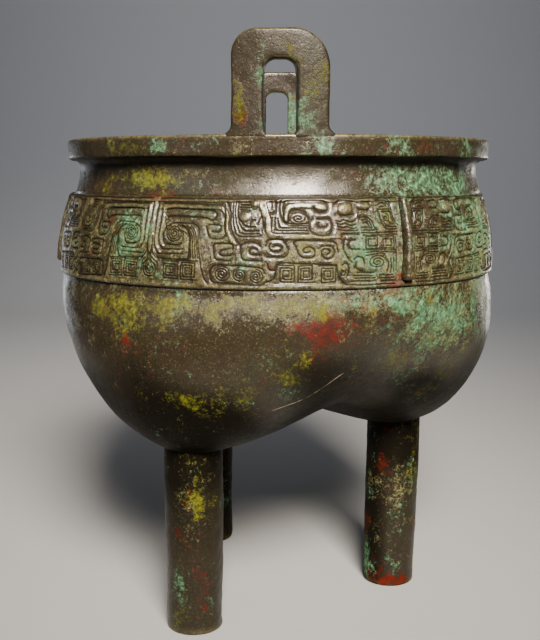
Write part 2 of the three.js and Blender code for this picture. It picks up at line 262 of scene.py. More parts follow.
# Where each growth lies thickest: azimuth in degrees, height, width along the girth and height of
# the patch in millimetres, and how thick it is.
GROWTHS = {
    "ash_and_highlight": [
        (0, 166, 220, 17, 0.62), (-6, 205, 24, 5, 0.2), (0, 205, 220, 6, -0.15),
        (48, 136, 40, 20, 0.8), (8, 146, 26, 6, 0.9), (4, 228, 16, 26, -0.3),
        (180, 246, 16, 6, -1.2), (60, 170, 18, 18, 0.6), (24, 206, 14, 5, -1.2),
        (-8, 191, 24, 8, -1.1), (-5, 178, 5, 9, -0.7), (-55, 140, 14, 16, 0.35),
    ],
    "olive": [
        (-30, 145, 28, 7, 0.8), (-25, 140, 4, 9, 0.4), (-12, 141, 4, 9, 0.4),
        (-48, 143, 14, 6, 0.55), (-14, 147, 14, 6, 0.5), (-37, 134, 8, 8, 0.5),
        (-22, 108, 16, 6, 1.0), (-10, 110, 8, 5, 0.6), (2, 120, 10, 5, 0.4),
        (9.5, 142.5, 3.5, 4, 1.1), (5.5, 127, 4, 4, 0.7), (20, 143, 5, 8, 0.6),
        (-3, 140, 4, 7, 0.55), (2, 131, 6, 5, 0.2), (6, 230, 14, 18, 0.45), (4, 147, 10, 4, 0.7),
        (180, 247, 16, 6, -1.2), (-35, 194, 24, 5, 1.0), (11, 165, 14, 12, 0.4),
        (24, 184, 9, 14, 0.6), (-44, 173, 20, 18, 0.45), (-9.5, 220, 3.2, 11, 1.3),
        (9, 236, 3, 7, 0.5), (1, 241, 4, 3, 0.6), (8, 226, 4, 6, 0.3), (-41, 206, 12, 4, 0.6),
        (-9, 205, 4, 4, 0.9), (35, 148, 16, 5, 0.8), (33, 122, 10, 9, 0.6), (60, 120, 20, 16, 0.35),
    ],
    "malachite": [
        (44, 138, 26, 12, 1.0), (30, 147, 10, 5, 0.7), (16, 148, 7, 4, 0.6), (40, 121, 10, 10, 0.6),
        (62, 139, 14, 12, 0.5), (14, 136, 4, 6, 0.55), (40, 194, 14, 6, 1.1), (54, 193, 12, 7, 0.8),
        (27, 193, 8, 5, 0.7), (29, 170, 9, 18, 0.7), (48, 172, 20, 18, 0.85),
        (64, 170, 16, 18, 0.75), (-30, 172, 20, 14, 0.4), (19, 166, 7, 12, 0.6),
        (5, 214, 6, 10, 0.5), (18, 171, 6, 10, 0.5), (-29, 206, 5, 4, 0.8), (-37, 206, 5, 4, 0.6),
        (-44, 174, 20, 12, 0.35), (10, 204.5, 7, 5, 0.7), (28, 206, 7, 5, 0.7),
        (52, 206, 16, 5, 0.6), (-4.6, 231, 2.4, 6, 0.8), (-4.5, 214, 2, 5, 0.5),
        (6, 222, 5, 10, 0.35), (175, 226, 9, 12, 0.9), (180, 247, 16, 6, -1.2),
        (-12, 207, 5, 4, 0.4), (-38, 168, 8, 14, 0.5), (-9, 165, 10, 8, 0.4),
    ],
    "cuprite": [
        (10.5, 135, 11, 7.5, 1.7), (180, 247, 16, 6, -1.2), (3, 139, 7, 5, 0.8),
        (15, 141, 12, 6, 0.6), (-36.4, 131, 3, 4, 1.1), (-30, 124, 16, 10, 0.45),
        (-47, 147, 10, 6, 0.6), (-20, 137, 10, 7, 0.25), (28, 140, 8, 6, 0.6), (3, 122, 8, 5, 0.7),
        (28, 155, 9, 5, 0.9), (33, 197, 4, 3, 0.7), (-8.5, 218, 2, 4, 1.0), (-33, 187, 14, 3, 0.7),
        (24, 206, 6, 4, 0.5), (36, 206, 5, 4, 0.6), (22, 148, 12, 4, 0.6), (-46, 172, 8, 12, 0.4),
    ],
}
# The same on the legs: x and y of the place in millimetres from the rim's axis, height, width and
# height of the patch, and how thick it is.
LEG_GROWTHS = {
    # a lighter crust on the legs' fronts, which also paints the highlight down the middle of each
    # leg
    "ash_and_highlight": [(58.6, -12.2, 56, 8, 12, 0.5), (-38, -65.2, 60, 7, 12, 0.5)],
    "olive": [(-34.1, -65.1, 62, 4, 12, 1.2), (-43.5, -63.3, 8, 3, 6, 0.7)],
    "malachite": [
        (-41.8, -64.3, 24, 2.4, 9, 1.2),
        (43, -5.5, 12, 3.6, 9, 1.5),
        (46.5, -9.4, 7, 2.6, 6, 1.0),
    ],
    "cuprite": [
        (-38, -65.3, 46, 7, 5, 0.7),
        (-32, -64.7, 22, 4, 16, 0.6),
        (49.6, -11.2, 61, 3, 5, 1.2),
        (43.2, -5.2, 32, 4, 7, 1.1),
        (53, -14.5, 3, 7, 4, 1.5),
        (59, -13, 2.5, 5, 3.5, 1.3),
    ],
}
GROWTH_SEEDS = {"ash_and_highlight": 10, "olive": 11, "malachite": 12, "cuprite": 13}
GROWTH_CLOUDS = {"ash_and_highlight": 0.3, "olive": 0.34, "malachite": 0.3, "cuprite": 0.24}


def growth(form, points, kind):
    """Thickness of one growth: soft spots on the side that is known, and seeded clouds that take
    over round the back."""
    azimuth = np.degrees(np.arctan2(points[..., 0], -points[..., 1]))
    girth = math.radians(1) * np.hypot(points[..., 0], points[..., 1])
    z = points[..., 2]
    total = np.zeros(points.shape[:-1])
    for middle, height, width, tall, thick in GROWTHS[kind]:
        across = ((azimuth - middle + 180) % 360 - 180) * girth / width
        total += thick * np.exp(-(across**2) - ((z - height) / tall) ** 2)
    for x, y, height, width, tall, thick in LEG_GROWTHS[kind]:
        away = ((points[..., 0] - x) ** 2 + (points[..., 1] - y) ** 2) / width**2
        total += thick * np.exp(-away - ((z - height) / tall) ** 2)
    seed = GROWTH_SEEDS[kind]
    clouds = ripple(points, LARGE_CLOUD, seed) + 0.6 * ripple(points, SMALL_CLOUD, seed + 50)
    behind = smooth_step(55, 85, np.abs(azimuth))
    return total + GROWTH_CLOUDS[kind] * clouds * (0.35 + 0.65 * behind) + 0.16 * behind


def soot_and_shade_cover(form, points):
    """Soot and painted shade: the darkening starts a third of the way down the lobes and thins out
    down the legs, with a cloudy edge. It stays thick on the legs' inner sides, which face the fire
    and lie in the shade under the bowl, and there is none in the cavity."""
    z = points[..., 2] + 7 * ripple(points, 40, 15)
    full, start = (form.belly_z - share * form.lobe_depth for share in SOOT_AND_SHADE_LEVELS[::-1])
    high = smooth_step(full, start, z)
    low = 0.45 + 0.55 * smooth_step(0.45 * form.leg_length, 0.9 * form.leg_length, z)
    out = np.hypot(points[..., 0] - form.shift(points[..., 2]), points[..., 1])
    inner = 1 - smooth_step(form.leg_circle - 9, form.leg_circle + 5, out)
    outside = smooth_step(0.4, 0.9, form.lobe_field(points, form.wall))
    return (1 - high) * np.maximum(low, inner) * outside


def grid_normals(rings):
    """Outward normals of rings of points: across the ring times along the rings."""
    around = np.roll(rings, -1, 1) - np.roll(rings, 1, 1)
    along = np.gradient(rings, axis=0)
    normals = np.cross(around, along)
    return normals / np.maximum(np.linalg.norm(normals, axis=-1), 1e-9)[..., None]


def mesh_volume(points, quads):
    a, b, c, d = (points[quads[:, i]] for i in range(4))
    return (np.cross(a, b) * c).sum() + (np.cross(a, c) * d).sum()


def skin(form, name, rings, flat_ends=False, cover=1.0, **marks):
    """A closed mesh over rings of points, given in millimetres round the rim's axis. Each ring
    joins the next, and the first and last are closed by a fan, or by one flat face. The marks
    become attributes of the points for the material."""
    stations, around = rings.shape[:2]
    index = np.arange(stations * around).reshape(stations, around)
    nxt = np.roll(index, -1, 1)
    quads = np.stack([index[:-1], nxt[:-1], nxt[1:], index[1:]], -1).reshape(-1, 4)
    points = rings.reshape(-1, 3)
    turned = mesh_volume(points, quads) < 0
    if flat_ends:
        ends = [index[0][::-1].tolist(), index[-1].tolist()]
    else:
        first = np.column_stack([nxt[0], index[0], np.full(around, len(points))])
        last = np.column_stack([index[-1], nxt[-1], np.full(around, len(points) + 1)])
        ends = first.tolist() + last.tolist()
        points = np.vstack([points, rings[0].mean(0), rings[-1].mean(0)])
    faces = quads.tolist() + ends
    if turned:
        faces = [face[::-1] for face in faces]
    placed = (points + [form.axis_x, 0, 0]) * MM
    mesh = bpy.data.meshes.new(name)
    mesh.from_pydata(placed.tolist(), [], faces)
    mesh.shade_smooth()
    for kind in GROWTHS:
        marks[kind] = cover * growth(form, points, kind)
    marks["soot_and_shade"] = soot_and_shade_cover(form, points)
    for mark, values in marks.items():
        flat = np.zeros(len(points), np.float32)
        flat[: values.size] = values.ravel()
        mesh.attributes.new(mark, "FLOAT", "POINT").data.foreach_set("value", flat)
    mesh.materials.append(old_bronze())
    piece = bpy.data.objects.new(name, mesh)
    bpy.context.scene.collection.objects.link(piece)
    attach(piece, BODY)
    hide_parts(VESSEL)
    return piece


def add(tree, kind, sockets=(), **settings):
    """One node with its settings. A socket is set to a value or linked to another's output."""
    made = tree.nodes.new(kind)
    for key, value in settings.items():
        setattr(made, key, value)
    for key, value in dict(sockets).items():
        if isinstance(value, bpy.types.NodeSocket):
            tree.links.new(value, made.inputs[key])
        else:
            made.inputs[key].default_value = value
    return made


def opaque(rgb):
    return (*rgb, 1.0)


# Scratches that show bright, as two ends [x, z] in millimetres seen from the front. x is measured
# from the middle of the part's box.
SCRATCHES = (
    ((-6.2, 100.9), (11.8, 108.6)),
    ((11.8, 108.6), (27.9, 118.4)),
    ((59.5, 86.6), (66, 89.2)),
)


def old_bronze():
    """Leaded tin bronze, cast in clay and buried: a dark satin skin that shines broadly, with
    dull mineral crusts that break up in grains. Noise scales are the number of grains a metre."""
    known = bpy.data.materials.get("buried_bronze")
    if known:
        return known
    finish = bpy.context.scene.ding_finish
    material = bpy.data.materials.new("buried_bronze")
    material.use_nodes = True
    tree = material.node_tree
    shader = tree.nodes["Principled BSDF"]
    place = add(tree, "ShaderNodeTexCoord").outputs["Object"]

    def noise(grain_mm, detail=4.0, roughness=0.6):
        sockets = {
            "Vector": place,
            "Scale": 1 / (grain_mm * MM),
            "Detail": detail,
            "Roughness": roughness,
        }
        return add(tree, "ShaderNodeTexNoise", sockets).outputs["Fac"]

    def mark(name):
        return add(tree, "ShaderNodeAttribute", attribute_name=name).outputs["Fac"]

    def ramp(value, low, high, to_low=0.0, to_high=1.0):
        sockets = {
            "Value": value,
            "From Min": low,
            "From Max": high,
            "To Min": to_low,
            "To Max": to_high,
        }
        return add(tree, "ShaderNodeMapRange", sockets).outputs["Result"]

    def sum_of(value, factor, term):
        sockets = {0: value, 1: factor, 2: term}
        return add(tree, "ShaderNodeMath", sockets, operation="MULTIPLY_ADD").outputs[0]

    def times(a, b):
        return add(tree, "ShaderNodeMath", {0: a, 1: b}, operation="MULTIPLY").outputs[0]

    def mix(share, a, b):
        sockets = {0: share, 6: a, 7: b}
        return add(tree, "ShaderNodeMix", sockets, data_type="RGBA").outputs[2]

    def thin_line(ends):
        """A line on the vessel's front between two ends. It wanders, fades at both ends, and
        shows in flecks where the distance to it in front view is under its half width."""
        (x0, z0), (x1, z1) = ends
        size = math.hypot(x1 - x0, z1 - z0)
        along = Vector(((x1 - x0) / size, 0, (z1 - z0) / size))
        across = Vector((-along.z, 0, along.x))
        offsets = [axis.dot(Vector((x0, 0, z0))) for axis in (along, across)]
        spots = [
            add(tree, "ShaderNodeVectorMath", {0: place, 1: axis / MM}, operation="DOT_PRODUCT")
            for axis in (along, across)
        ]
        run, gap = (
            add(tree, "ShaderNodeMath", {0: spot.outputs["Value"], 1: offset}, operation="SUBTRACT")
            for spot, offset in zip(spots, offsets)
        )
        bend = 3.2  # millimetres that the line wanders in all, half of it to each side
        bent = sum_of(wander, bend, gap.outputs[0])
        away = add(tree, "ShaderNodeMath", {0: bent, 1: bend / 2}, operation="SUBTRACT").outputs[0]
        away = add(tree, "ShaderNodeMath", {0: away}, operation="ABSOLUTE").outputs[0]
        fade = times(ramp(run.outputs[0], 0, 2), ramp(run.outputs[0], size, size - 2))
        front = add(tree, "ShaderNodeSeparateXYZ", {0: place}).outputs["Y"]
        fade = times(fade, ramp(front, -0.02, -0.03))
        return times(times(ramp(away, 0.22, 0.06), fade), ramp(flecks, 0.4, 0.55))

    clouds, flecks, wander = noise(26, 5, 0.62), noise(3.2, 4, 0.7), noise(22, 2, 0.5)
    grain, gaps = noise(0.7, 3, 0.75), noise(8, 2, 0.5)
    skin_colour = mix(ramp(clouds, 0.38, 0.62), opaque(finish.bare), opaque(finish.warm))
    skin_colour = mix(times(ramp(flecks, 0.45, 0.7), 0.5), skin_colour, opaque(finish.dirt_and_shade))
    skin_colour = mix(times(ramp(grain, 0.56, 0.72), 0.3), skin_colour, opaque(finish.ash_pale))
    groove, rubbed, soot_and_shade = mark("groove"), mark("rubbed"), mark("soot_and_shade")
    # soot and painted shade on the lobes' undersides and the legs
    skin_colour = mix(times(soot_and_shade, 0.9), skin_colour, opaque(finish.soot_and_shade))
    # polished high places, and painted highlight along the handles' rounded edges
    skin_colour = mix(times(rubbed, ramp(flecks, 0.35, 0.6)), skin_colour, opaque(finish.rubbed))

    crust = None
    rough = ramp(flecks, 0.3, 0.7, 0.22, 0.32)
    layers = (
        ("ash_and_highlight", finish.ash_and_highlight, finish.ash_pale, 1.0, 0.22, 0.75),
        ("cuprite", finish.cuprite_brown, finish.cuprite, 3.0, 0.22, 0.9),
        ("olive", finish.olive, finish.olive_pale, 1.8, 0.19, 0.85),
        ("malachite", finish.malachite, finish.malachite_pale, 1.7, 0.22, 0.8),
    )
    for name, deep, pale, size, edge, cover in layers:  # edge: half of the fade at a patch's rim
        patches = noise(size * 5, 5, 0.72)
        specks = noise(size, 5, 0.8)
        broken = sum_of(patches, 1.8, sum_of(specks, 1.6, sum_of(mark(name), 0.55, -1.7)))
        share = ramp(broken, 0.5 - edge, 0.54 + edge)
        tone = mix(ramp(specks, 0.44, 0.64), opaque(deep), opaque(pale))
        skin_colour = mix(times(share, cover), skin_colour, tone)
        rough = sum_of(share, 0.18, rough)
        crust = share if crust is None else sum_of(share, 1.0, crust)
    # dirt in the carved grooves, and painted shade under the rim and along the band's lower edge
    skin_colour = mix(groove, skin_colour, opaque(finish.dirt_and_shade))
    matt = sum_of(soot_and_shade, 1.0, groove)
    tree.links.new(sum_of(matt, 0.25, rough), shader.inputs["Roughness"])
    shine = ramp(sum_of(crust, 0.6, matt), 0.0, 1.0, 0.5, 0.03)
    tree.links.new(shine, shader.inputs["Specular IOR Level"])
    tree.links.new(ramp(crust, 0.0, 1.0, 0.25, 0.0), shader.inputs["Metallic"])
    tree.links.new(ramp(sum_of(matt, 1.0, crust), 0.0, 0.6, 0.3, 0.0), shader.inputs["Coat Weight"])
    shader.inputs["Coat Roughness"].default_value = 0.16

    for scratch in SCRATCHES:
        bright = times(thin_line(scratch), ramp(gaps, 0.42, 0.58))
        skin_colour = mix(times(bright, 0.75), skin_colour, opaque(finish.scratch))
    tree.links.new(skin_colour, shader.inputs["Base Color"])

    pits = add(
        tree,
        "ShaderNodeTexVoronoi",
        {"Vector": place, "Scale": 1 / (2.2 * MM), "Randomness": 1.0},
    ).outputs["Distance"]
    height = sum_of(grain, 0.5, sum_of(flecks, 0.6, times(ramp(pits, 0.0, 0.25), 0.35)))
    height = sum_of(times(crust, grain), 1.1, height)
    bump = add(
        tree,
        "ShaderNodeBump",
        {"Strength": 0.55, "Distance": 0.35 * MM, "Height": height},
    )
    tree.links.new(bump.outputs["Normal"], shader.inputs["Normal"])
    return material


DENTS = ((0.16, 30, 31), (0.06, 9, 32), (0.035, 3.5, 33))  # depth and length in mm, seed


def weathered(points, normals, amount=1.0):
    """Pushes points in and out by the long waves and short dents of old cast metal."""
    push = sum(depth * ripple(points, size, seed) for depth, size, seed in DENTS)
    return points + normals * (amount * push)[..., None]


def quarter(start, end, steps, bulge_first):
    """Points on a quarter ellipse from one [radius, z] to another, leaving along the radius
    first or along z first."""
    turn = np.linspace(0, math.pi / 2, steps)
    first, second = np.sin(turn), 1 - np.cos(turn)
    across, up = (first, second) if bulge_first else (second, first)
    return np.column_stack(
        [start[0] + (end[0] - start[0]) * across, start[1] + (end[1] - start[1]) * up]
    )


def bowl_profile(form):
    """[radius, z] pairs from the belly up the wall, over the rim and down the cavity's wall."""
    edge, top = form.edge, form.top_z
    wall_z = np.linspace(form.belly_z, form.neck_top, 44)[1:]
    mouth = form.neck_radius - form.wall
    down_z = np.linspace(form.neck_top, form.belly_z, 24)
    under_band = (wall_z > form.band_z + 0.2) & (wall_z < form.shoulder_z - 0.2)
    wall = form.wall_radius(wall_z)
    behind = np.minimum(wall, form.field_radius(wall_z) - BAND_RECESS)
    rim, low = form.rim_radius, form.rim_z
    side_z = np.linspace(low + edge, top - edge, 7)[1:-1]
    parts = [
        np.column_stack([np.where(under_band, behind, wall), wall_z]),
        quarter((form.neck_radius, form.neck_top), (rim - edge, low), 9, False)[1:],
        quarter((rim - edge, low), (rim, low + edge), 6, True)[1:],
        np.column_stack([np.full(5, rim), side_z]),
        quarter((rim, top - edge), (rim - edge, top), 6, False),
        np.column_stack([np.linspace(rim - edge, mouth + edge, 8)[1:], np.full(7, top)]),
        quarter((mouth + edge, top), (mouth, top - edge), 6, True)[1:],
        np.column_stack([np.full(7, mouth), np.linspace(top - edge, form.neck_top, 9)[1:-1]]),
        np.column_stack([form.wall_radius(down_z) - form.wall, down_z]),
    ]
    return np.vstack(parts)


def build_bowl(form):
    """Rings from the lowest point under the belly, up over the rim and down into the cavity. The
    lower ones are rays from the belly's middle to the three joined lobes."""
    columns, rows = 300, 92
    inner = 70  # rings of the profile up to the middle of the rim's top
    azimuth = np.arange(columns) * (2 * math.pi / columns)
    rise = np.linspace(0, math.pi / 2, rows, endpoint=False)
    rise[0] = 0.004  # the smallest ring, which a fan closes

    def lobes(angles, inset):
        angle = angles[:, None]
        ways = [np.sin(angle) * np.sin(azimuth), -np.sin(angle) * np.cos(azimuth)]
        ways.append(-np.cos(angle) * np.ones_like(azimuth))
        return form.lobe_surface(np.stack(ways, -1), inset)

    profile = bowl_profile(form)
    upper = form.polar(profile[:, :1], azimuth, profile[:, 1:])
    outside = lobes(np.append(rise, math.pi / 2), 0)
    inside = lobes(rise[::-2], form.wall)
    rings = np.concatenate([outside, upper, inside])
    z = rings[..., 2]
    uneven = smooth_step(form.rim_z - 4, form.rim_z, z)
    uneven = uneven * (1 - smooth_step(form.rim_z + 2, form.top_z, z))
    rings[..., 2] += 0.35 * uneven * ripple(rings * [1, 1, 0], 26, 41)
    covered = (z > form.band_z - 1) & (z < form.shoulder_z + 1)
    flat = (np.abs(z - form.top_z) < 1.2) & (np.hypot(rings[..., 0], rings[..., 1]) > 80)
    amount = np.where(covered, 0.2, np.where(flat, 0.35, 1.0))
    amount[len(outside) + inner :] *= 0.8
    rings = weathered(rings, grid_normals(rings), amount)
    # painted shadow under the rim's overhang, carried in the groove mark
    painted_rim_shadow = smooth_step(form.neck_top - 2, form.neck_top + 1.5, z) * (z < form.rim_z + 0.5)
    rim_edges = np.exp(-(((z - form.top_z + 0.4) / 0.5) ** 2)) * (
        np.hypot(rings[..., 0], rings[..., 1]) > form.rim_radius - 2
    )
    return skin(form, "bowl", rings, groove=0.7 * painted_rim_shadow, rubbed=0.8 * rim_edges)


def build_leg(form, name, azimuth):
    """Circles up a leg that tapers to its foot, with a softened foot and slightly uneven sides.
    The leg with the crooked foot leans, and each leg's top sinks into its lobe."""
    angle = math.radians(azimuth)
    middle = form.polar(form.leg_circle, angle, form.leg_length)
    straight = form.leg_length - form.leg_top / 2
    turn = np.linspace(0, 2 * math.pi, 96, endpoint=False)
    soft = 1.4  # rounding of the foot's edge in millimetres
    foot = quarter((form.leg_foot - soft, 0), (form.leg_foot, soft), 7, True)
    top = form.leg_length + 2 * form.wall - 2
    z = np.concatenate([foot[:, 1], np.linspace(soft, top, 76)[1:]])
    taper = form.leg_foot + (form.leg_top - form.leg_foot) * np.clip(z / straight, 0, 1)
    radius = np.concatenate([foot[:, 0], taper[len(foot) :]])
    crook = CROOKED_FOOT if azimuth == 90 else (0, 0)
    share = np.maximum(1 - z / straight, 0)[:, None]
    x = middle[0] + share * crook[0] + radius[:, None] * np.sin(turn)
    y = middle[1] + share * crook[1] - radius[:, None] * np.cos(turn)
    rings = np.stack([x, y, np.broadcast_to(z[:, None], x.shape)], -1)
    sole = rings[:1].copy()
    sole[..., :2] += 0.7 * (middle[:2] + share[0] * crook - sole[..., :2])
    rings = np.concatenate([sole, rings])
    amount = smooth_step(0.3, 3, rings[..., 2])
    rings = weathered(rings, grid_normals(rings), 1.4 * amount)
    rings[..., 2] = np.maximum(rings[..., 2], 0)
    return skin(form, name, rings, rubbed=0.35 * np.exp(-(((rings[..., 2] - 1) / 1.5) ** 2)))


def arch_stations(form, height, corners):
    """Pairs of a point on a handle's outer edge and one on its window's edge, drawn flat from the
    rim's top: up the left post, over two quarter circles and a level top, and down the right."""
    half, inner = form.handle_width / 2, form.window / 2
    lintel, fillet = height - form.lintel, form.handle_fillet
    spread = 1.5 * fillet
    sill_height, sill_depth = 2.0, 1.3

    def post(radius):
        levels = ((-HANDLE_ROOT, 0, 5), (0, spread, 12), (spread, height - radius, 18))
        up = np.concatenate([np.linspace(low, high, n)[:-1] for low, high, n in levels])
        outer = half + fillet * np.clip(1 - up / spread, 0, 1) ** 2.4
        window_up = np.where(up < 0, up, up * (lintel - form.window_corner) / (height - radius))
        sill = inner - sill_depth * np.clip(1 - window_up / sill_height, 0, 1) ** 2.2
        return np.column_stack([outer, up]), np.column_stack([sill, window_up])

    def corner(x, up, radius):
        turn = np.linspace(0, math.pi / 2, 22)
        return np.column_stack([x - radius * (1 - np.cos(turn)), up - radius * (1 - np.sin(turn))])

    sides = []
    for radius in corners:
        outer, window = post(radius)
        outer = np.vstack([outer, corner(half, height, radius)])
        window = np.vstack([window, corner(inner, lintel, form.window_corner)])
        sides.append((outer, window))
    (left_outer, left_window), (right_outer, right_window) = sides
    flip = [-1, 1]
    between = np.linspace(0, 1, 12)[1:-1, None]
    outer_top = left_outer[-1] * flip * (1 - between) + right_outer[-1] * between
    window_top = left_window[-1] * flip * (1 - between) + right_window[-1] * between
    outer = np.vstack([left_outer * flip, outer_top, right_outer[::-1]])
    window = np.vstack([left_window * flip, window_top, right_window[::-1]])
    return outer, window


def rounded_bar(half_width, half_depth, radius, per_corner=7, per_side=6):
    """Points round a rectangle with round corners, the same number for any size."""
    turn = np.linspace(0, math.pi / 2, per_corner)
    points = []
    for quadrant in range(4):
        angle = turn + quadrant * math.pi / 2
        sx, sy = (1, -1, -1, 1)[quadrant], (1, 1, -1, -1)[quadrant]
        corner = np.column_stack(
            [
                sx * (half_width - radius) + radius * np.cos(angle),
                sy * (half_depth - radius) + radius * np.sin(angle),
            ]
        )
        points.append(corner)
        nx, ny = (-1, -1, 1, 1)[quadrant], (1, -1, -1, 1)[quadrant]
        nxt = np.array([nx * (half_width - radius), ny * (half_depth - radius)])
        nxt = nxt + radius * np.array([np.cos(angle[-1]), np.sin(angle[-1])])
        share = np.linspace(0, 1, per_side + 2)[1:-1, None]
        points.append(corner[-1] * (1 - share) + nxt * share)
    return np.vstack(points)


def build_handle(form, name, azimuth, height):
    """A rounded bar carried along the arch and bent round the rim. Its foot sinks into the rim."""
    outer, window = arch_stations(form, height, HANDLE_CORNERS)
    depth = form.handle_depth / 2
    rings = []
    for out, win in zip(outer, window):
        gap = np.linalg.norm(out - win)
        section = rounded_bar(gap / 2, depth, 1.15)
        way = (out - win) / gap
        flat = (out + win) / 2 + section[:, :1] * way
        sunk = np.clip(-flat[:, 1] - 1.2, 0, 2)
        level = form.rim_radius - depth + section[:, 1] * (1 - 0.12 * sunk) + 0.05
        rings.append(np.column_stack([flat[:, 0], level, flat[:, 1]]))
    bar = np.array(rings)
    turn = math.radians(azimuth) + bar[..., 0] / form.rim_radius
    rings = form.polar(bar[..., 1], turn, form.top_z + bar[..., 2])
    normals = grid_normals(rings)
    if (normals[..., :2] * rings[..., :2]).sum() < 0:
        normals = -normals
    amount = smooth_step(form.top_z, form.top_z + 4, rings[..., 2])
    worn = weathered(rings, normals, 0.9 * amount)
    # polished edges on the top and round the window, which also paint the highlight along the top's
    # rounded edges
    edges = 1 - smooth_step(0.8, 1.6, np.abs(np.abs(bar[..., 1] - form.rim_radius + depth) - depth))
    rim_side = np.abs(normals[..., 2]) > 0.3
    rubbed = 0.7 * edges * rim_side * (bar[..., 2] > 4)
    dirt_and_shade = np.full(rubbed.shape, HANDLE_DARKENING[name])
    return skin(form, name, worn, rubbed=rubbed, groove=dirt_and_shade)


def build_flange(form, name, azimuth):
    """Level sections up a flange: a rounded bar from inside the wall to the flange's edge, which
    draws in towards the top and swells into a rounded chin at the foot."""
    foot, top = form.flange_gap, form.band_height - 0.2
    chin = form.chin_height
    close_set, tip_rise, crest_rise = 1.6, 1.8, 1.5  # heights in millimetres
    tip_round, crest_round, swell = 1.8, 1.3, 0.5  # widths in millimetres
    dense = np.linspace(foot, foot + close_set, 9)
    up = np.concatenate([dense, np.linspace(foot + close_set, top, 70)[1:]])
    rise = (up - foot) / (form.band_height - foot)
    proud = form.flange_foot + (form.flange_top - form.flange_foot) * rise
    bottom = np.clip((up - foot) / tip_rise, 0, 1)
    crest = np.clip((top - up) / crest_rise, 0, 1)
    chin_share = 1 - smooth_step(chin - 5, chin + 3, up - foot)
    proud = proud - tip_round * (1 - np.sqrt(1 - (1 - bottom) ** 2))
    proud = proud - crest_round * (1 - np.sqrt(1 - (1 - crest) ** 2))
    width = form.flange_width + (form.chin_width + swell - form.flange_width) * chin_share
    width = width * (0.82 + 0.18 * np.sqrt(1 - (1 - bottom) ** 2)) * (1.04 - 0.14 * rise)
    rings = []
    start = -BAND_RECESS
    for level, out, wide in zip(up, proud, width):
        section = rounded_bar((out - start) / 2, wide / 2, min(1.05, wide / 2 - 0.02))
        radius = form.field_radius(form.band_z + level) + (out + start) / 2 + section[:, 0]
        turn = math.radians(azimuth) + section[:, 1] / radius
        rings.append(form.polar(radius, turn, np.full(len(section), form.band_z + level)))
    rings = np.array(rings)
    radial = np.hypot(rings[..., 0], rings[..., 1])
    field = form.field_radius(rings[..., 2])
    outer = smooth_step(1.2, 3.2, radial - field)
    # the flange's root, where it meets the field, darker and more matt
    near = 1 - smooth_step(0.0, 1.2, radial - field)
    push = (0.12 * ripple(rings, 6, 61) + 0.05 * ripple(rings, 2, 62))[..., None]
    rings = rings + grid_normals(rings) * push * np.where(radial < field, 0, 1)[..., None]
    return skin(form, name, rings, cover=0.5, rubbed=0.15 * outer, groove=0.6 * near)


# The carving of a mask's right half, drawn unrolled in millimetres: across from the nose line
# towards the flange, and up from the band's lower edge, in turn for each point of a line. The
# left half mirrors it.
RAISED = [  # line, width at its start and at its end
    ((0, 33, 0, 20), 1.5, 1.7),
    ((0, 20, 0, 10.5), 2.4, 6),
    ((2.5, 31.6, 2.4, 19.6, 2.9, 16.2, 4.8, 13.9), 0.9, 0.9),
    ((4.7, 30.6, 4.6, 24, 4.7, 18.4, 5.8, 16.2), 0.9, 0.7),
    ((8, 23.8, 15, 23.6, 18.3, 20.5, 19.4, 13, 21.6, 3), 3.2, 5.4),
    ((3.5, 31, 26, 31, 30.4, 28.6, 31.2, 23, 34.6, 17.5), 2.2, 1.8),
    ((44, 33, 46.2, 27, 47.8, 21.2, 52, 20.3, 60, 20.2, 74, 20), 3.4, 1.4),
    ((53.4, 26.4, 54, 30.6, 57, 31.6, 64, 31.6, 68, 30.8), 2.2, 2.6),
]
BOSSES = [  # middle, half width, half height, rise as a share of the relief
    (58.2, 26.9, 3.6, 2.3, 0.5),
    (76.0, 30.3, 2.9, 2.4, 1.6),
    (41.4, 32.4, 1.5, 2.3, 1.7),
    (84.2, 31.3, 2.3, 1.6, 0.8),
    (37.8, 27.4, 2.2, 2.0, 0.7),
    (82.0, 9.4, 1.7, 2.0, 0.7),
]
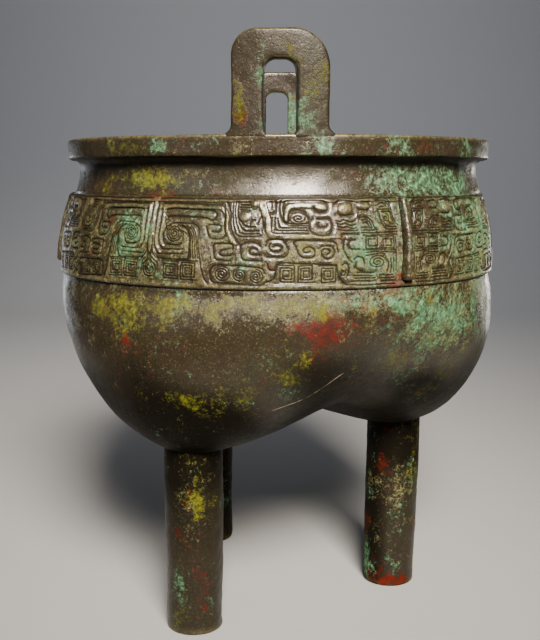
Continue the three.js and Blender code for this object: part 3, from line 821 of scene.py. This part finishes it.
OUTLINES = [
    (3.5, 32.1, 16, 32.1, 28.7, 31.7),
    (9, 24.7, 16, 24.9, 18.6, 24.2, 20.1, 22.4, 20.5, 18, 21.5, 11.8, 23, 5, 24.4, 2.9),
    (3.3, 12.4, 5, 11.5, 15, 11.3, 16.6, 12.6, 16.9, 19.5, 15.6, 22.6, 13.4, 24),
    (8.3, 24.3, 6.2, 23, 5.4, 20, 6, 17.6, 8, 16.8, 12, 16.7, 13.6, 18.2, 13.9, 21),
    (5.4, 28.3, 6.6, 30, 15, 30, 24.6, 29.6, 26.6, 28.7, 26.7, 27.2, 25.2, 25.9, 23.5, 26.7, 20,
     27.1, 9, 27.3, 6.3, 26.9), (29.6, 31.4, 30.2, 29, 30.1, 25.5, 30.7, 21.6),
    (30.8, 32.4, 32.1, 29, 32.4, 24.5, 33.8, 21, 36.4, 16.6), (28.2, 22, 25.4, 21.9),
    (23, 23.7, 24.4, 24.4, 28, 24.3, 28.9, 23.3, 28.2, 22),
    (23.2, 23.5, 23.8, 20.9, 25.6, 19.4, 29.8, 19.3, 31, 21.3),
    (26.3, 16.4, 27.3, 17.4, 33, 17.4, 34, 16.4, 33.9, 15.3),
    (26.5, 16.2, 26.7, 13, 28, 11.5, 33, 11.5, 34, 12.4),
    (33.2, 15.6, 30, 15.3, 28.8, 14.2, 29.7, 13.2, 33.4, 13.2),
    (36.2, 16.6, 38.5, 17.8, 42, 18, 44.2, 16.7), (36.4, 16.3, 36.9, 13.6, 38.4, 11.6, 44.4, 11.4),
    (42.6, 15.5, 41, 15.9, 40, 15, 41, 13.6, 44.2, 13.5),
    (46.1, 16.8, 47.2, 19, 51.4, 19.1, 53.6, 17, 54.4, 14.6, 52.8, 12.8, 46.4, 12.7),
    (48.6, 16.5, 50.2, 16.9, 51.9, 16, 51, 14.6, 48.6, 14.7, 47.4, 16.2, 47.6, 17.6),
    (56.4, 17.6, 58.4, 18.8, 65, 18.5, 70, 18.4, 72.4, 17.2, 73.1, 14.4),
    (56.8, 17.6, 58.9, 13, 63, 12.5, 64.3, 14.4, 62.8, 16.4, 60.4, 16.3, 59.7, 15.2, 60.6, 14.5,
     62.2, 14.8),
    (65.8, 15.8, 67.6, 16.5, 70.4, 16.4, 71.8, 14.6, 70.6, 12.3, 68.4, 12, 66.8, 13.8, 67.4, 15.2,
     69, 15.4, 70, 14.4, 69, 13.5), (25.4, 5.5, 26, 8.2, 28.5, 9.4, 34, 9.4, 44, 8.7, 46, 6.6),
    (25.5, 5.2, 26.6, 3.2, 32, 2.8, 44, 2.3, 46, 3.4), (46.8, 10.4, 47.6, 8.2, 49.4, 7.7),
    (46.2, 3.5, 48.2, 3.9, 49.8, 5.6, 50.3, 8.8, 51.6, 10.4, 58, 10.3, 72.6, 9.6),
    (72.6, 9.4, 73.2, 6, 74.6, 3.8, 77.4, 2.2, 88, 1.9),
    (51.2, 33.4, 50.8, 30.4, 51.6, 27.4, 52.8, 25.3, 55, 24.8, 62, 24.8),
    (52.4, 28, 52.3, 32.2, 53.8, 33.2, 60, 33.4, 67.2, 33.2, 69.3, 31.4, 68.8, 29.3, 66, 28.8,
     64.6, 29.6, 64, 30.8), (54.6, 25.8, 54.6, 28.4, 56.2, 29.6, 59.6, 29.4, 61.4, 28, 62.2, 26.6),
    (65, 26.6, 69.6, 26.6, 70.9, 24.6, 70.7, 21.8, 69, 20.8, 64.4, 21, 62.3, 22.8, 62.2, 25.3,
     63.6, 26.7), (65.6, 25.4, 65.8, 23.8, 68.2, 23.6, 68.8, 24.4),
    (45.9, 34, 48.6, 34.1, 49.4, 32.6, 49.4, 29.4, 48, 28.6), (72.6, 32.2, 74.4, 33.3, 79.4, 33),
    (73.4, 28.4, 75, 27.7, 79.6, 28), (74.4, 20.8, 78, 20.9, 81.6, 20.7),
    (82, 29.9, 84, 29.7, 86.4, 30), (83.2, 33, 86.6, 32.6),
    (81.8, 26.6, 84.4, 27, 86.9, 26, 88, 23.6, 89.2, 22.2),
    (89.2, 33.2, 91.6, 34.1, 94.2, 33.9, 96, 31.8, 96.3, 29, 97.2, 25.6, 98.6, 24),
    (90.4, 29.4, 91, 26.4, 92.2, 23.6, 94, 22.4, 97.6, 22.3), (89.4, 21.3, 98, 21.3),
    (80.2, 18.8, 78, 18.3, 77.2, 17, 78.2, 15.4, 81.8, 15.2),
    (79.2, 11.6, 80.6, 12.6, 82.8, 12, 83.6, 10), (80.3, 10.6, 80, 8.8, 81.2, 7.4, 83.4, 7),
    (84, 12.9, 88, 13.2, 91.6, 13.3, 92.9, 11.4, 93.8, 9, 93.2, 6.6),
    (74.8, 9.4, 76.4, 10.1, 77.3, 8, 77, 5.4), (80.4, 6.5, 87.6, 6.4), (88.6, 1.8, 96.4, 1.9),
    (75.6, 18.4, 75.2, 15.6, 76.6, 12.6, 78.6, 10.4), (24.5, 34.1, 2, 34.1), (24.5, 34.1, 99, 34.2),
]
LINES = [
    (1.3, 32.6, 1.3, 21.5, 1.9, 20.2), (3.6, 31, 3.5, 18.6, 4.4, 16, 6, 15.1, 14.4, 15.1),
    (1.6, 20.2, 1.7, 16.6, 3.2, 13.6, 5, 13.3, 14.4, 13.4),
    (0.8, 19.6, 1.2, 15, 2, 12.8, 4.6, 10.4), (0.9, 16.4, 0.9, 12.6, 3.4, 9.6, 3.8, 6),
    (0, 13.6, 0.9, 11, 2.5, 9, 2.8, 6.4, 1.8, 4.7, 0, 4.3),
    (0, 11.4, 1.4, 9.2, 1.8, 7, 1.2, 5.7, 0, 5.4), (0, 9.4, 0.9, 8.2, 0.9, 6.9, 0, 6.4),
    (11.4, 24, 14.8, 23.2, 17, 20.4, 17.7, 12.2), (13.4, 24.2, 16.4, 22.6, 18, 19.4, 18.6, 12.2),
    (15.2, 24.2, 17.8, 22.2, 18.9, 19, 19.6, 12.2), (17, 24, 18.9, 21.8, 19.7, 18.4, 20.6, 12),
    (5.4, 10.9, 20.6, 10.9), (33.1, 32.8, 33.1, 27.4, 34.2, 22.8, 36, 20.3, 44, 20.4),
    (34.1, 33, 34, 28, 35.2, 23.8, 37, 21.2, 43.6, 21.2),
    (35.1, 33, 35, 28.4, 36, 24.8, 38, 22.3, 43.2, 22.2),
    (35.8, 26.4, 37.4, 24.6, 39.4, 23.7, 42, 23.6), (35.6, 32.8, 39.6, 32.8),
    (36, 31.8, 39.4, 31.8), (35.6, 30.8, 39.4, 30.8), (36, 29.8, 39.6, 29.8),
    (40, 24.8, 40.4, 26.1, 42, 26.2), (42.8, 24.6, 43.3, 26, 44.4, 27.4, 44.8, 24, 44.4, 21.8),
    (45.5, 27, 45.6, 24.4, 45.4, 22), (46.8, 32.8, 48, 32.6, 48.2, 29.8),
    (48.2, 27, 48.2, 23, 49.4, 21.6, 62, 21.4), (49.3, 27, 49.4, 23.6, 50.6, 22.5, 61.8, 22.4),
    (50.3, 26.6, 50.8, 24.2, 52, 23.4, 61.4, 23.4), (54.4, 24.1, 61.6, 24.1),
    (72.4, 26, 74, 25.5, 75.6, 26.2, 77.2, 25.5, 78.8, 25.3, 80.4, 26.1),
    (72.8, 24.9, 74.4, 24.4, 76, 24.9, 78, 24.2, 80.4, 24.7),
    (73, 23.8, 75, 23.2, 77, 23.6, 79, 23, 80.6, 23.6), (73.4, 22.6, 76, 22.2, 81, 22.4),
    (82.8, 25.7, 84.8, 26.1, 86.4, 24.8, 87.2, 22.9), (83.2, 24.8, 84.8, 25.1, 85.8, 23.9),
    (82.8, 23.3, 86.6, 23.3), (82.4, 22.3, 88.2, 22.3), (82.4, 21.3, 88.6, 21.3),
    (90, 32.8, 92, 33.2, 94, 32.9, 95.2, 31.4, 95.2, 30.4),
    (90.4, 31.6, 92.2, 32.3, 94, 31.8, 94.2, 30.9), (91, 30.6, 93.2, 30.9), (90, 29.9, 96, 29.9),
    (91.6, 28.9, 95.4, 28.9, 95.9, 26.6, 97, 24.2), (92, 27.4, 93, 23.9, 95, 23.2, 97.6, 23.3),
    (94.4, 25.4, 95.2, 24.3, 96.4, 24.3), (83, 20.4, 98, 20.4), (83, 14.9, 97, 14.7),
    (84, 14, 90, 14.1, 94, 13.9, 96.6, 13.8), (79, 5.4, 87.4, 5.3), (79.6, 4.4, 87.8, 4.4),
    (78.4, 3.3, 88.2, 3.3), (89.8, 5.2, 95.6, 5.3), (90.2, 4.2, 96, 4.2), (90.4, 3.1, 96.2, 3.1),
    (94.6, 11.4, 95, 8.4, 94.4, 6.2), (95.8, 11.6, 96, 6.4), (96.9, 19.6, 96.9, 7),
]
SQUARES = [  # middle, half width, half height, turned the other way
    (8.9, 7.2, 3.5, 3.2, False),
    (17.2, 7.0, 3.4, 3.2, True),
    (53.7, 6.5, 3.0, 3.1, False),
    (61.3, 6.4, 3.1, 3.1, True),
    (69.0, 6.3, 3.2, 3.1, False),
    (87.0, 17.6, 2.9, 2.3, True),
    (93.3, 17.6, 2.8, 2.2, False),
]
OVALS = [  # middle, half width, half height, start in degrees, turned the other way
    (10.2, 21.0, 3.4, 3.4, 120, False),
    (30.0, 6.2, 3.3, 3.0, 150, True),
    (36.8, 6.0, 2.7, 2.8, 90, False),
    (42.7, 5.4, 2.7, 2.7, 90, True),
    (58.1, 26.9, 2.8, 1.6, 0, True),
    (88.8, 10.3, 4.0, 2.5, 0, False),
    (93.4, 26.6, 1.5, 1.7, 90, True),
    (75.0, 6.8, 1.2, 1.6, 0, True),
]
LINE_PITCH = 1.0  # millimetres between the turns of a spiral


def smooth_line(points, steps=6):
    """A Catmull-Rom curve through points, as short straight steps."""
    p = np.reshape(np.asarray(points, float), (-1, 2))
    if len(p) < 3:
        return p
    p = np.vstack([2 * p[0] - p[1], p, 2 * p[-1] - p[-2]])
    t = np.linspace(0, 1, steps, endpoint=False)[None, :, None]
    a, b, c, d = p[:-3, None], p[1:-2, None], p[2:-1, None], p[3:, None]
    curve = b + 0.5 * t * (c - a + t * (2 * a - 5 * b + 4 * c - d + t * (3 * (b - c) + d - a)))
    return np.vstack([curve.reshape(-1, 2), p[-2]])


def square_spiral(x, y, half_width, half_height, turned):
    """Corners of a square spiral that draws in by the pitch at each turn."""
    points = []
    for turn in range(9):
        w, h = half_width - turn * LINE_PITCH, half_height - turn * LINE_PITCH
        if min(w, h) < 0.3:
            break
        points += [(-w, h), (w, h), (w, -h), (-w + LINE_PITCH, -h)]
    points = np.array(points)
    return points * (-1 if turned else 1) + [x, y]


def oval_spiral(x, y, half_width, half_height, start, turned):
    """A spiral whose oval draws in by the pitch at each turn."""
    turns = min(half_width, half_height) / LINE_PITCH
    t = np.linspace(0, 1, int(22 * turns))
    angle = math.radians(start) + (-1 if turned else 1) * 2 * math.pi * turns * t
    share = (1 - 0.93 * t)[:, None]
    circle = np.column_stack([np.cos(angle), np.sin(angle)])
    return [x, y] + [half_width, half_height] * share * circle


def near_line(across, up, line, reach):
    """The grid points near a line, their distance to it, and how far along it they lie, 0 to 1."""
    low, high = line.min(0) - reach, line.max(0) + reach
    near = (across > low[0]) & (across < high[0]) & (up > low[1]) & (up < high[1])
    where = np.flatnonzero(near.ravel())
    x, y = across.ravel()[where, None], up.ravel()[where, None]
    a, step = line[:-1], np.diff(line, axis=0)
    sizes = np.linalg.norm(step, axis=1)
    share = ((x - a[:, 0]) * step[:, 0] + (y - a[:, 1]) * step[:, 1]) / np.maximum(sizes**2, 1e-9)
    share = np.clip(share, 0, 1)
    gap = np.hypot(x - a[:, 0] - share * step[:, 0], y - a[:, 1] - share * step[:, 1])
    best = gap.argmin(1)
    row = np.arange(len(where))
    starts = np.concatenate([[0], np.cumsum(sizes)[:-1]])
    along = (starts[best] + share[row, best] * sizes[best]) / sizes.sum()
    return where, gap[row, best], along


RAILS = ((0.6, 1.2, 2.1, 2.7), (32.6, 33.1, 34.3, 34.8))  # where the band's edges rise and fall
GROOVE_SIDES = (0.12, 0.5)  # distances from a groove's middle to its floor's edge and its brink
LINE_SIDES = (0.08, 0.42)
HOLLOW_SIDES = (0.3, 1.5)  # the same for the soft hollow that each outline lies in
HOLLOW = 0.2  # its depth


def mask_relief(form, across, up):
    """Height above the band's field, and how deep in a groove, over a drawn half mask: plateaus
    along the raised lines, domes, and round-bottomed grooves along the outlines and spirals."""
    rails = [smooth_step(a, b, up) * (1 - smooth_step(c, d, up)) for a, b, c, d in RAILS]
    raised = (form.relief * np.maximum(*rails)).ravel()
    for line, start, end in RAISED:
        where, gap, along = near_line(across, up, smooth_line(line), 4)
        half = (start + (end - start) * along) / 2
        height = form.relief * (1 - smooth_step(-0.45, 0.25, gap - half))
        raised[where] = np.maximum(raised[where], height)
    for x, y, wide, tall, rise in BOSSES:
        inside = 1 - ((across - x) / wide) ** 2 - ((up - y) / tall) ** 2
        dome = form.relief * rise * np.sqrt(np.clip(inside, 0, 1))
        raised = np.maximum(raised, dome.ravel())
    groove, soft, fine = np.zeros(across.size), np.zeros(across.size), np.zeros(across.size)
    for line in OUTLINES:
        where, gap, _ = near_line(across, up, smooth_line(line), 1.8)
        groove[where] = np.maximum(groove[where], 1 - smooth_step(*GROOVE_SIDES, gap))
        soft[where] = np.maximum(soft[where], 1 - smooth_step(*HOLLOW_SIDES, gap))
    drawn = [smooth_line(line) for line in LINES]
    drawn += [square_spiral(*square) for square in SQUARES]
    drawn += [oval_spiral(*oval) for oval in OVALS]
    for line in drawn:
        where, gap, _ = near_line(across, up, line, 0.8)
        fine[where] = np.maximum(fine[where], 1 - smooth_step(*LINE_SIDES, gap))
    cut = np.maximum(form.groove * groove, form.line * fine)
    height = raised - cut - HOLLOW * soft * (1 - groove)
    return height.reshape(across.shape), np.maximum(groove, fine).reshape(across.shape)


def build_mask(form, name, azimuth):
    """One mask's third of the band: sections across the band, each a relief-cut face with a plain
    back inside the wall, carried round the girth from flange to flange."""
    columns, rows = 681, 141
    half = HALF_MASK * math.radians(1)
    turn = np.linspace(-half, half, columns)
    up = np.linspace(0, form.band_height, rows)
    girth = form.wall_radius(form.band_z + form.band_height / 2)
    across, rise = np.meshgrid(turn * girth, up, indexing="ij")
    seed = int(azimuth) % 360
    place = np.stack([across, rise, np.zeros_like(across)], -1)
    shaky_across = np.abs(across) + 0.13 * ripple(place, 7, 70 + seed)
    shaky_up = rise + 0.11 * ripple(place, 8, 71 + seed)
    height, groove = mask_relief(form, shaky_across, shaky_up)
    # painted shadow along the band's lower edge, carried in the groove mark
    groove = np.maximum(groove, 1 - smooth_step(0.2, 0.9, shaky_up))
    height += 0.05 * ripple(place, 4, 72 + seed) + 0.03 * ripple(place, 1.6, 73 + seed)
    ends = smooth_step(0, 0.45, rise) * smooth_step(0, 0.45, form.band_height - rise)
    height = (form.band_proud + height) * ends + 0.05
    height -= (1 - ends) * 0.9 * (np.minimum(rise, form.band_height - rise) < 0.01)
    z = form.band_z + rise
    base = form.field_radius(z) - form.band_proud
    face = form.polar(base + height, math.radians(azimuth) + across / girth, z)
    back_z = np.array([form.shoulder_z, form.band_z])
    back_radius = form.wall_radius(back_z) - 1.4
    back = form.polar(back_radius, (math.radians(azimuth) + turn)[:, None], back_z)
    rings = np.concatenate([face, back], 1)
    high = smooth_step(0.2, 0.55, height - form.band_proud) * (1 - groove)
    none = np.zeros((columns, 2))
    return skin(
        form,
        name,
        rings,
        flat_ends=True,
        groove=np.hstack([0.85 * groove, none]),
        rubbed=np.hstack([0.55 * high + 0.12 * (1 - groove), none]),
    )


class DING_OT_bowl(bpy.types.Operator):
    """Build the bowl with its three lobes, its rim and its cavity"""

    bl_idname = "ding.bowl"
    bl_label = "Bowl and rim"

    def execute(self, context):
        build_bowl(Form())
        return {"FINISHED"}


class DING_OT_legs(bpy.types.Operator):
    """Build the three round legs"""

    bl_idname = "ding.legs"
    bl_label = "Legs"

    def execute(self, context):
        form = Form()
        for name, azimuth in zip(("leg_front", "leg_side", "leg_back"), LEG_AZIMUTHS):
            build_leg(form, name, azimuth)
        return {"FINISHED"}


class DING_OT_handles(bpy.types.Operator):
    """Build the two loop handles on the rim"""

    bl_idname = "ding.handles"
    bl_label = "Handles"

    def execute(self, context):
        form = Form()
        build_handle(form, "handle_front", 0, form.front_handle)
        build_handle(form, "handle_back", 180, form.rear_handle)
        return {"FINISHED"}


class DING_OT_masks(bpy.types.Operator):
    """Build the carved band, one beast mask over each leg"""

    bl_idname = "ding.masks"
    bl_label = "Carved band"

    def execute(self, context):
        form = Form()
        for name, azimuth in zip(("mask_front", "mask_side", "mask_back"), LEG_AZIMUTHS):
            build_mask(form, name, azimuth)
        return {"FINISHED"}


class DING_OT_flanges(bpy.types.Operator):
    """Build the three flanges between the masks"""

    bl_idname = "ding.flanges"
    bl_label = "Flanges"

    def execute(self, context):
        form = Form()
        for name, azimuth in zip(("flange_front", "flange_rear", "flange_left"), LEG_AZIMUTHS):
            build_flange(form, name, azimuth + HALF_MASK)
        return {"FINISHED"}


BELLY = (0, 0, 0.13)  # metres from the rim's axis on the floor
BACKDROP = (0, 1.3, 0.45)
LIGHTS = (  # name, azimuth, elevation, distance, size, power, colour, what it faces, spread
    ("key", 10, 36, 1.1, 0.4, 3.6, "#fff6ec", BELLY, 40),
    ("fill_left", -50, 22, 1.5, 0.8, 0.3, "#eaf0ff", BELLY, 60),
    ("side_left", -146, -2, 0.62, 0.2, 0.01, "#f2f4fa", BELLY, 26),
    ("side_right", 146, -2, 0.62, 0.2, 0.022, "#fbf7ec", BELLY, 26),
    ("background", 0, 40, 1.3, 0.5, 5, "#eef2ff", BACKDROP, 110),
)
SKY = ("#dfe3ea", 0.12)


def area_light(name, azimuth, elevation, distance, size, power, tint, target, spread):
    """A soft square light that faces the target, from an azimuth and elevation in degrees. Its
    beam opens by the spread, also in degrees."""
    light = bpy.data.lights.new(name, "AREA")
    light.size = size
    light.spread = math.radians(spread)
    light.energy = power
    light.color = linear(tint)
    lamp = bpy.data.objects.new(name, light)
    a, e = math.radians(azimuth), math.radians(elevation)
    way = Vector((math.sin(a) * math.cos(e), -math.cos(a) * math.cos(e), math.sin(e)))
    lamp.location = target + way * distance
    lamp.rotation_euler = way.to_track_quat("Z", "Y").to_euler()
    bpy.context.scene.collection.objects.link(lamp)
    return lamp


class DING_OT_stage(bpy.types.Operator):
    """Build the pale ground, the soft studio light and the camera"""

    bl_idname = "ding.stage"
    bl_label = "Stage"

    def execute(self, context):
        form = Form()
        scene = context.scene
        # a floor that sweeps up into a plain background, drawn as a profile carried sideways
        turn = np.linspace(0, math.pi / 2, 16)
        back, radius = 0.9, 0.5
        profile = np.vstack(
            [
                [[-1.6, 0.0]],
                np.column_stack([back + radius * np.sin(turn), radius * (1 - np.cos(turn))]),
                [[back + radius, 2.6]],
            ]
        )
        sides = np.array([-2.6, 2.6])
        x = np.broadcast_to(sides[None], (len(profile), 2))
        y, z = (np.broadcast_to(profile[:, i : i + 1], x.shape) for i in (0, 1))
        points = np.stack([x, y, z], -1).reshape(-1, 3)
        row = np.arange(len(profile) - 1)[:, None] * 2
        faces = row + np.array([0, 1, 3, 2])
        mesh = bpy.data.meshes.new("ground")
        mesh.from_pydata(points.tolist(), [], faces.tolist())
        mesh.shade_smooth()
        # seamless background paper: matt uncoated card, which spreads the light and has no shine
        paper = bpy.data.materials.new("ground_paper")
        paper.use_nodes = True
        shader = paper.node_tree.nodes["Principled BSDF"]
        shader.inputs["Base Color"].default_value = opaque(scene.ding_finish.floor)
        shader.inputs["Roughness"].default_value = 0.9
        mesh.materials.append(paper)
        ground = bpy.data.objects.new("ground", mesh)
        scene.collection.objects.link(ground)

        axis = Vector((form.axis_x * MM, 0, 0))
        for *settings, target, spread in LIGHTS:
            middle = Vector(target) + (axis if target == BELLY else Vector())
            area_light(*settings, middle, spread)
        world = bpy.data.worlds.new("studio")
        world.use_nodes = True
        sky = world.node_tree.nodes["Background"]
        sky.inputs["Color"].default_value = opaque(linear(SKY[0]))
        sky.inputs["Strength"].default_value = SKY[1]
        scene.world = world

        lens = bpy.data.cameras.new("camera")
        lens.lens = CAMERA_LENS
        camera = bpy.data.objects.new("camera", lens)
        camera.location = Vector(CAMERA) + axis
        camera.rotation_euler = (math.radians(90 - CAMERA_PITCH), 0, 0)
        scene.collection.objects.link(camera)
        scene.camera = camera
        return {"FINISHED"}


STEPS = (
    DING_OT_bowl,
    DING_OT_legs,
    DING_OT_handles,
    DING_OT_masks,
    DING_OT_flanges,
    DING_OT_stage,
)


class DING_PT_panel(bpy.types.Panel):
    """Sizes, colours and the steps that build the vessel"""

    bl_idname = "DING_PT_panel"
    bl_label = "Bronze ding"
    bl_space_type = "VIEW_3D"
    bl_region_type = "UI"
    bl_category = "Ding"

    def draw(self, context):
        for step in STEPS:
            self.layout.operator(step.bl_idname)
        for group in (context.scene.ding_sizes, context.scene.ding_finish):
            box = self.layout.box()
            for name in type(group).__annotations__:
                box.prop(group, name)


CLASSES = (DingSizes, DingFinish, *STEPS, DING_PT_panel)


def register():
    for kind in CLASSES:
        bpy.utils.register_class(kind)
    bpy.types.Scene.ding_sizes = PointerProperty(type=DingSizes)
    bpy.types.Scene.ding_finish = PointerProperty(type=DingFinish)


def unregister():
    del bpy.types.Scene.ding_finish
    del bpy.types.Scene.ding_sizes
    for kind in reversed(CLASSES):
        bpy.utils.unregister_class(kind)


def main():
    register()
    bpy.ops.ding.bowl()
    bpy.ops.ding.legs()
    bpy.ops.ding.handles()
    bpy.ops.ding.masks()
    bpy.ops.ding.flanges()
    bpy.ops.ding.stage()


if __name__ == "__main__":
    main()
